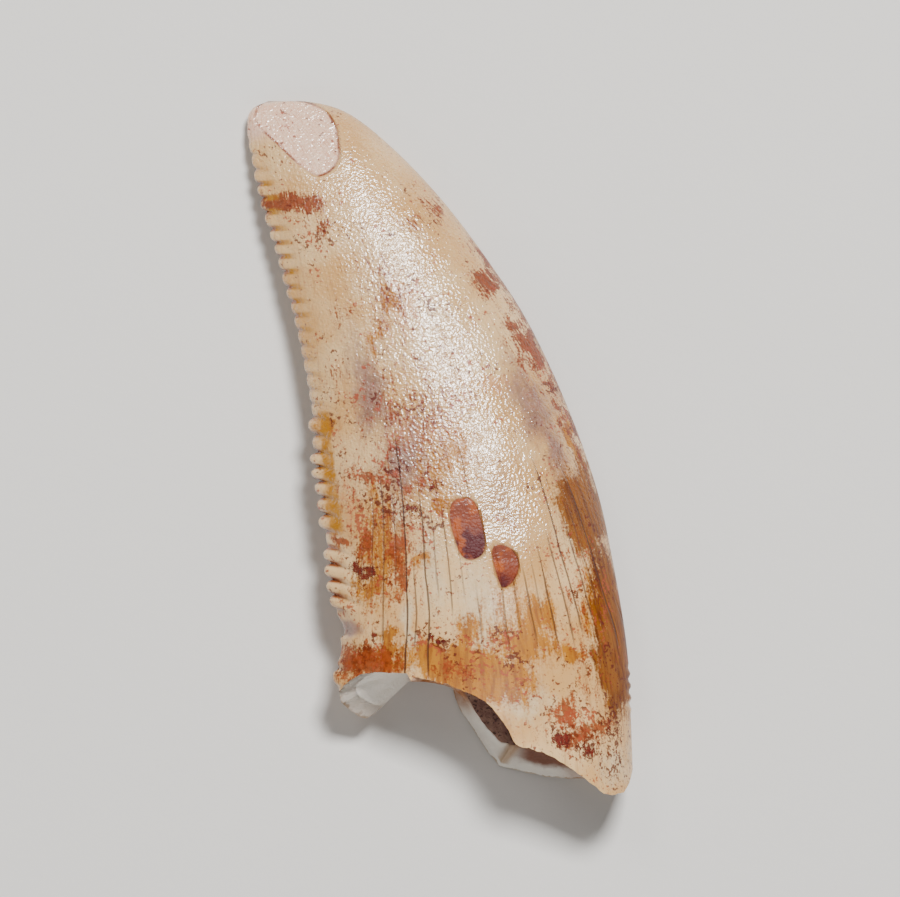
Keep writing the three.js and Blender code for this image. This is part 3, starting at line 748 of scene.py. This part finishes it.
class Finish:
    """A material in the making: its tree, its places in millimetres, and the colour laid down so far."""

    def __init__(self, name):
        self.material = bpy.data.materials.new(name)
        self.material.use_nodes = True
        self.tree = self.material.node_tree
        self.tree.nodes.clear()
        inputs = {0: self.add("ShaderNodeTexCoord").outputs["Object"], "Scale": 1 / MM}
        self.place = self.add("ShaderNodeVectorMath", inputs, operation="SCALE").outputs[0]
        self.grain = self.place
        self.colour = None

    def add(self, kind, inputs=None, **settings):
        return add_node(self.tree, kind, inputs, **settings)

    def read(self, name, output="Fac"):
        return self.add("ShaderNodeAttribute", attribute_name=name).outputs[output]

    def axes(self):
        """How far along X, Y and Z each place lies, in millimetres."""
        return self.add("ShaderNodeSeparateXYZ", {0: self.place}).outputs

    def maths(self, operation, *values):
        return self.add("ShaderNodeMath", dict(enumerate(values)), operation=operation).outputs[0]

    def product(self, first, *others):
        for value in others:
            first = self.maths("MULTIPLY", first, value)
        return first

    def largest(self, first, *others):
        for value in others:
            first = self.maths("MAXIMUM", first, value)
        return first

    def noise(self, size, detail=3.0, roughness=0.55, place=None):
        """Uneven colour or height in patches of a size in millimetres."""
        inputs = {"Vector": place or self.place, "Scale": 1 / size, "Detail": detail, "Roughness": roughness}
        return self.add("ShaderNodeTexNoise", inputs).outputs["Fac"]

    def swing(self, value, size):
        """A value from 0 to 1 turned into a swing of a size either way."""
        return self.maths("MULTIPLY_ADD", value, 2 * size, -size)

    def between(self, value, low, high, at_low=0.0, at_high=1.0):
        inputs = {"Value": value, "From Min": low, "From Max": high, "To Min": at_low, "To Max": at_high}
        return self.add("ShaderNodeMapRange", inputs, interpolation_type="SMOOTHSTEP").outputs[0]

    def drawn_out(self, places, share):
        """Places moved together along the fibre, so that the noise there is drawn out along it."""
        inputs = {0: places, 1: (1.0, share, 1.0)}
        return self.add("ShaderNodeVectorMath", inputs, operation="MULTIPLY").outputs[0]

    def tones(self, share, light, dark):
        """Two colours, mixed by a share."""
        inputs = {0: share, 6: linear(light), 7: linear(dark)}
        return self.add("ShaderNodeMix", inputs, data_type="RGBA").outputs[2]

    def lay(self, amount, colour):
        """Lays a colour over what is there, by an amount from 0 to 1."""
        colour = linear(colour) if isinstance(colour, str) else colour
        inputs = {0: amount, 6: self.colour, 7: colour}
        self.colour = self.add("ShaderNodeMix", inputs, data_type="RGBA").outputs[2]

    def stain(self, density, colours, grain, raggedness, edge, strength=1.0, run=None):
        """Lays a ragged stain where the density says, in two tones."""
        speckle = self.swing(self.noise(grain, 7.0, 0.68, run or self.grain), raggedness * 1.2)
        fine = self.swing(self.noise(grain / 3), raggedness * 0.7)
        cover = self.maths("ADD", self.maths("ADD", density, speckle), fine)
        amount = self.product(self.between(cover, 0.5 - edge, 0.5 + edge), strength)
        tone = self.between(self.noise(grain * 0.7, 5.0, 0.55, run or self.place), 0.4, 0.66)
        self.lay(amount, self.tones(tone, *colours))
        return amount

    def finish(self, height, depth, **shader):
        bump = self.add("ShaderNodeBump", {"Height": height, "Distance": depth * MM, "Strength": 1.0})
        shading = self.add("ShaderNodeBsdfPrincipled", {
            "Base Color": self.colour, "Normal": bump.outputs[0], **shader})
        self.add("ShaderNodeOutputMaterial", {"Surface": shading.outputs[0]})
        return self.material


def stained_enamel():
    """Fossil tooth enamel, worn smooth by silt: a satin gloss with a fine grain that glitters, over
    cream, beige and pink, with mineral stains that creep in ragged patches and along hair cracks."""
    finish = Finish("fossil enamel, worn and mineral stained")
    x, y, _ = finish.axes()
    fibre = finish.read("fibre", "Vector")
    finish.grain = finish.drawn_out(fibre, 0.5)
    long_fibre = finish.drawn_out(fibre, 0.2)
    streaks = finish.noise(0.12, 4.0, 0.6, finish.drawn_out(fibre, 0.09))
    finish.colour = finish.tones(finish.between(finish.noise(1.8), 0.35, 0.65), "#CC9C60", "#DEB884")
    finish.lay(finish.between(streaks, 0.5, 0.75, 0.0, 0.45), "#A87448")

    # Stains, from the oldest and softest to the rust that crept over them.
    finish.stain(finish.read("peach"), ("#CF8E5C", "#BC7444"), 0.3, 0.8, 0.2, 0.6)
    finish.stain(finish.read("plum"), ("#7A565C", "#5C3F4A"), 0.3, 0.35, 0.5, 0.75)
    finish.stain(finish.read("chalk"), ("#D6BE98", "#CAB088"), 0.25, 0.4, 0.35, 0.8)
    ochre = finish.stain(finish.product(finish.read("ochre"), 1.25), ("#A86804", "#844404"),
                         0.18, 0.7, 0.25, 0.9, long_fibre)
    umber = finish.stain(finish.product(finish.read("umber"), 1.15), ("#7E4606", "#562404"),
                         0.18, 0.7, 0.25, 0.95, long_fibre)
    rust = finish.stain(finish.read("rust"), ("#8E3A1A", "#622010"), 0.16, 0.9, 0.2, 0.88)

    # The facet shows a paler, pinker layer. The very tip beside it is as bare.
    very_tip = finish.product(finish.between(x, -3.8, -4.3), finish.between(y, 7.0, 7.5))
    inside_facet = finish.largest(finish.between(finish.read("facet"), -0.02, 0.02), very_tip)
    facet_tones = finish.tones(finish.between(streaks, 0.45, 0.65), "#F2CCB4", "#DBA48A")
    finish.lay(finish.product(inside_facet, 0.8), facet_tones)

    # Freckles come in clusters. Near the base they are as dark as the maroon spots.
    freckle = finish.maths("MULTIPLY_ADD", finish.read("freckle"), 0.15, finish.noise(0.1, 3.0, 0.6))
    clustered = finish.maths("MULTIPLY_ADD", finish.noise(0.7, 4.0, 0.6), 0.6, -0.31)
    freckle = finish.between(finish.maths("ADD", freckle, clustered), 0.66, 0.71, 0.0, 0.85)
    freckle_tone = finish.between(finish.maths("ADD", finish.noise(0.5), finish.read("maroon")), 0.45, 0.55)
    finish.lay(freckle, finish.tones(freckle_tone, "#9A442C", "#541812"))
    finish.lay(finish.product(rust, finish.between(y, -0.5, -2.5, 0.0, 0.2)), "#94480A")
    finish.lay(finish.product(rust, finish.between(y, -0.5, 1.0, 0.0, 0.45)), "#6A2410")
    maroon = finish.stain(finish.read("maroon"), ("#6B2119", "#4A1512"), 0.08, 0.9, 0.1, 0.95)

    # Gold at the roots of the denticles, and brown silt in the notches between them.
    reach = finish.maths("MULTIPLY_ADD", finish.noise(0.25, 4.0), 0.3, finish.read("reach"))
    rooted = finish.product(finish.between(reach, 0.24, 0.34), finish.between(reach, 0.6, 0.46),
                            finish.between(finish.noise(0.3), 0.3, 0.6, 0.7, 1.0))
    finish.lay(finish.product(finish.read("gold"), rooted), "#A66C06")
    notch = finish.product(finish.between(finish.read("gap"), 0.08, 0.55), finish.read("notch_tint"),
                           finish.between(reach, 0.6, 0.25))
    notch_tone = finish.largest(finish.between(y, -1.6, -2.6), finish.between(reach, 0.3, 0.16))
    finish.lay(notch, finish.tones(notch_tone, "#A8700E", "#84421A"))

    # Hair cracks, the facet's brown rim, and the pits, which darken downwards.
    to_crack = finish.maths("PINGPONG", finish.read("crack_phase"), 0.5)
    crack_gap = finish.product(to_crack, finish.read("crack_spacing"))
    crack = finish.product(finish.between(crack_gap, 0.03, 0.01), finish.read("crack_depth"))
    finish.lay(finish.product(crack, 0.85), "#482A22")
    facet = finish.read("facet")
    rim = finish.product(finish.between(facet, -0.05, 0.0), finish.between(facet, 0.05, 0.01),
                         finish.between(finish.noise(0.5), 0.4, 0.6, 0.35, 0.95))
    finish.lay(rim, "#7E3C22")
    in_pit = finish.between(finish.read("pit"), -0.035, 0.01)
    pit_share = finish.read("pit_share")
    pit_tone = finish.maths("ADD", pit_share, finish.swing(finish.noise(0.2), 0.3))
    finish.lay(in_pit, finish.tones(finish.between(pit_tone, 0.35, 0.65), "#7C3A24", "#4E1A1C"))
    finish.lay(finish.product(in_pit, finish.between(finish.noise(0.45), 0.5, 0.6, 0.0, 0.6)), "#AE5418")

    # The grain glitters on the upper flank and in the pits. Stains are duller than bare enamel.
    grainy = finish.largest(finish.between(y, -3.4, -1.4, 0.12, 1.0), in_pit)
    height = finish.product(finish.noise(0.07, 1.5, 0.45), grainy)
    height = finish.maths("ADD", height, finish.product(streaks, 0.12))
    height = finish.maths("SUBTRACT", height, finish.product(crack, 0.8))
    height = finish.maths("SUBTRACT", height, finish.product(maroon, 0.4))
    dull_pit = finish.product(in_pit, finish.between(pit_share, 0.0, 0.4, 0.45, 1.0))
    crust = finish.largest(umber, rust, ochre, freckle, maroon, dull_pit)
    roughness = finish.maths("MULTIPLY_ADD", dull_pit, 0.15, 0.2)
    roughness = finish.maths("MULTIPLY_ADD", crust, 0.2, roughness)
    gloss = finish.maths("MULTIPLY_ADD", crust, -0.75, 1.0)
    gloss = finish.product(gloss, finish.between(y, -3.2, -2.0, 0.35, 1.0))
    return finish.finish(height, 0.03, **{
        "Roughness": roughness, "IOR": 1.6, "Specular IOR Level": gloss, "Subsurface Weight": 0.15,
        "Subsurface Radius": (1.0, 0.6, 0.4), "Subsurface Scale": 0.3 * MM})


def broken_dentine():
    """Dentine on a fresh break: chalky white and matt, with a thin brown line under the enamel and brown silt
    on the upper rim's own edge. The recess under the upper rim, its front corner and the mouth of the hollow
    are brown, part silt and part painted shade."""
    finish = Finish("dentine, broken across")
    x, y, z = finish.axes()
    finish.colour = finish.tones(finish.noise(0.4, 4.0), "#E6DACA", "#F4EEE2")
    share = finish.maths("ADD", finish.read("broken"), finish.swing(finish.noise(0.15), 0.1))
    finish.lay(finish.between(share, 0.05, 0.0, 0.0, 0.8), "#A98A66")
    # Brown in the recess under the upper rim: part silt, part painted shade.
    finish.lay(finish.product(finish.between(share, 0.25, 0.6), finish.between(x, 1.45, 2.15)), "#7A4A34")
    patchy = finish.between(finish.noise(0.3, 4.0), 0.4, 0.6, 0.75, 1.0)
    upper_wall = finish.product(finish.between(x, -0.85, -0.55), finish.between(y, -6.5, -5.8),
                                finish.between(z, 1.8, 2.6, 1.0, 0.85))
    finish.lay(finish.product(upper_wall, patchy), "#A0602A")
    # Brown at the front corner under the rim, darker lower down: part silt, part painted shade.
    front_corner_silt_and_shade = finish.product(finish.between(x, 2.6, 3.4, 0.0, 0.75), finish.between(z, 1.8, 1.2))
    finish.lay(finish.product(front_corner_silt_and_shade, patchy), "#8E5228")
    finish.lay(finish.between(finish.read("partition"), 0.1, 0.9, 0.0, 0.75), "#A67C50")
    # Brown towards the mouth of the hollow: part silt, part painted shade.
    finish.lay(finish.between(share, 0.85, 1.05, 0.0, 0.7), "#8A5A40")
    return finish.finish(finish.noise(0.08, 4.0, 0.6), 0.03, **{
        "Roughness": 0.7, "IOR": 1.55, "Subsurface Weight": 0.1,
        "Subsurface Radius": (1.0, 0.7, 0.5), "Subsurface Scale": 0.2 * MM})


def hollow_lining():
    """The old pulp cavity's wall: brown and purple dentine with dark specks of the rock that filled it."""
    finish = Finish("dentine, lined with iron-stained silt")
    finish.colour = finish.tones(finish.between(finish.noise(0.5, 5.0), 0.35, 0.65), "#B28C78", "#845C54")
    finish.lay(finish.between(finish.noise(0.08), 0.55, 0.65, 0.0, 0.7), "#3E2420")
    return finish.finish(finish.noise(0.1, 5.0, 0.65), 0.05, Roughness=0.75, IOR=1.5)


def area_light(name, place, aim, size, power, colour="#FFFFFF"):
    lamp = bpy.data.lights.new(name, "AREA")
    lamp.shape = "RECTANGLE"
    lamp.size, lamp.size_y = size[0] * MM, size[1] * MM
    lamp.energy = power
    lamp.color = linear(colour)[:3]
    light = bpy.data.objects.new(name, lamp)
    light.location = Vector(place) * MM
    light.rotation_euler = (Vector(aim) - Vector(place)).to_track_quat("-Z", "Y").to_euler()
    bpy.context.scene.collection.objects.link(light)


# The photograph's frame: 21.15 mm wide at the tooth, seen from straight above through a long lens.
VIEW_CENTRE = (0.235, -0.059)
VIEW_WIDTH = 21.15
VIEW_LEVEL = 1.7
CAMERA_HEIGHT = 260.0
SENSOR = 36.0

lens = bpy.data.cameras.new("camera")
lens.sensor_width = SENSOR
lens.lens = SENSOR * (CAMERA_HEIGHT - VIEW_LEVEL) / VIEW_WIDTH
lens.clip_start = 0.005
camera = bpy.data.objects.new("camera", lens)
camera.location = Vector((*VIEW_CENTRE, CAMERA_HEIGHT)) * MM
bpy.context.scene.collection.objects.link(camera)
bpy.context.scene.camera = camera

dice = np.random.default_rng(SEED)
shell, faces, walls, sides = crown_shell(dice)
wear_crown(shell, dice)
marks = crown_marks(shell, dice)
blank = to_mesh(shell, faces, walls, marks)
materials = [stained_enamel(), broken_dentine(), hollow_lining()]
tooth = serrated(blank, materials, {
    "Root length": 0.22, "Roundness": 2.4, "Notch depth": 0.85, "Unevenness": 0.1, "Ridge lean": 0.6,
    "Seed": 3})
unwrap(tooth.data, shell, walls, sides)
tooth.data.set_sharp_from_angle(angle=math.radians(50))
for name in ("denticle", "stand", "ridge_reach", "ridge_relief", "outward"):
    tooth.data.attributes.remove(tooth.data.attributes[name])

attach(tooth, "root")
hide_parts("tooth")

# A pale table, and soft lights. The crest light's shine runs down the crest, a weak light to its
# left lifts the rear of the flank, and two large low ones fill in from the front.
TABLE_HALF = 300.0
floor_mesh = bpy.data.meshes.new("table")
corners = [(-1, -1), (1, -1), (1, 1), (-1, 1)]
places = [(x * TABLE_HALF * MM, y * TABLE_HALF * MM, 0) for x, y in corners]
floor_mesh.from_pydata(places, [], [(0, 1, 2, 3)])
table = bpy.data.objects.new("table", floor_mesh)
bpy.context.scene.collection.objects.link(table)
# Uncoated paper is matt, so that it carries the soft shadows and no shine.
paper = Finish("pale matt paper")
paper.colour = paper.tones(paper.noise(8.0), "#DAD7D2", "#DDDAD5")
floor_mesh.materials.append(paper.finish(paper.noise(0.4), 0.01, Roughness=0.9))

area_light("crest light", (40, 95, 190), (0, 0, 1), (46, 38), 0.8)
area_light("left glint", (-70, 110, 190), (0, 0, 1), (60, 60), 0.07)
area_light("left softbox", (-110, -170, 130), (0, 0, 1), (240, 200), 0.14)
area_light("front softbox", (60, -180, 150), (0, 0, 1), (240, 200), 0.13)

world = bpy.data.worlds.new("studio")
world.use_nodes = True
world.node_tree.nodes["Background"].inputs["Color"].default_value = linear("#F4F2EE")
world.node_tree.nodes["Background"].inputs["Strength"].default_value = 0.07
bpy.context.scene.world = world
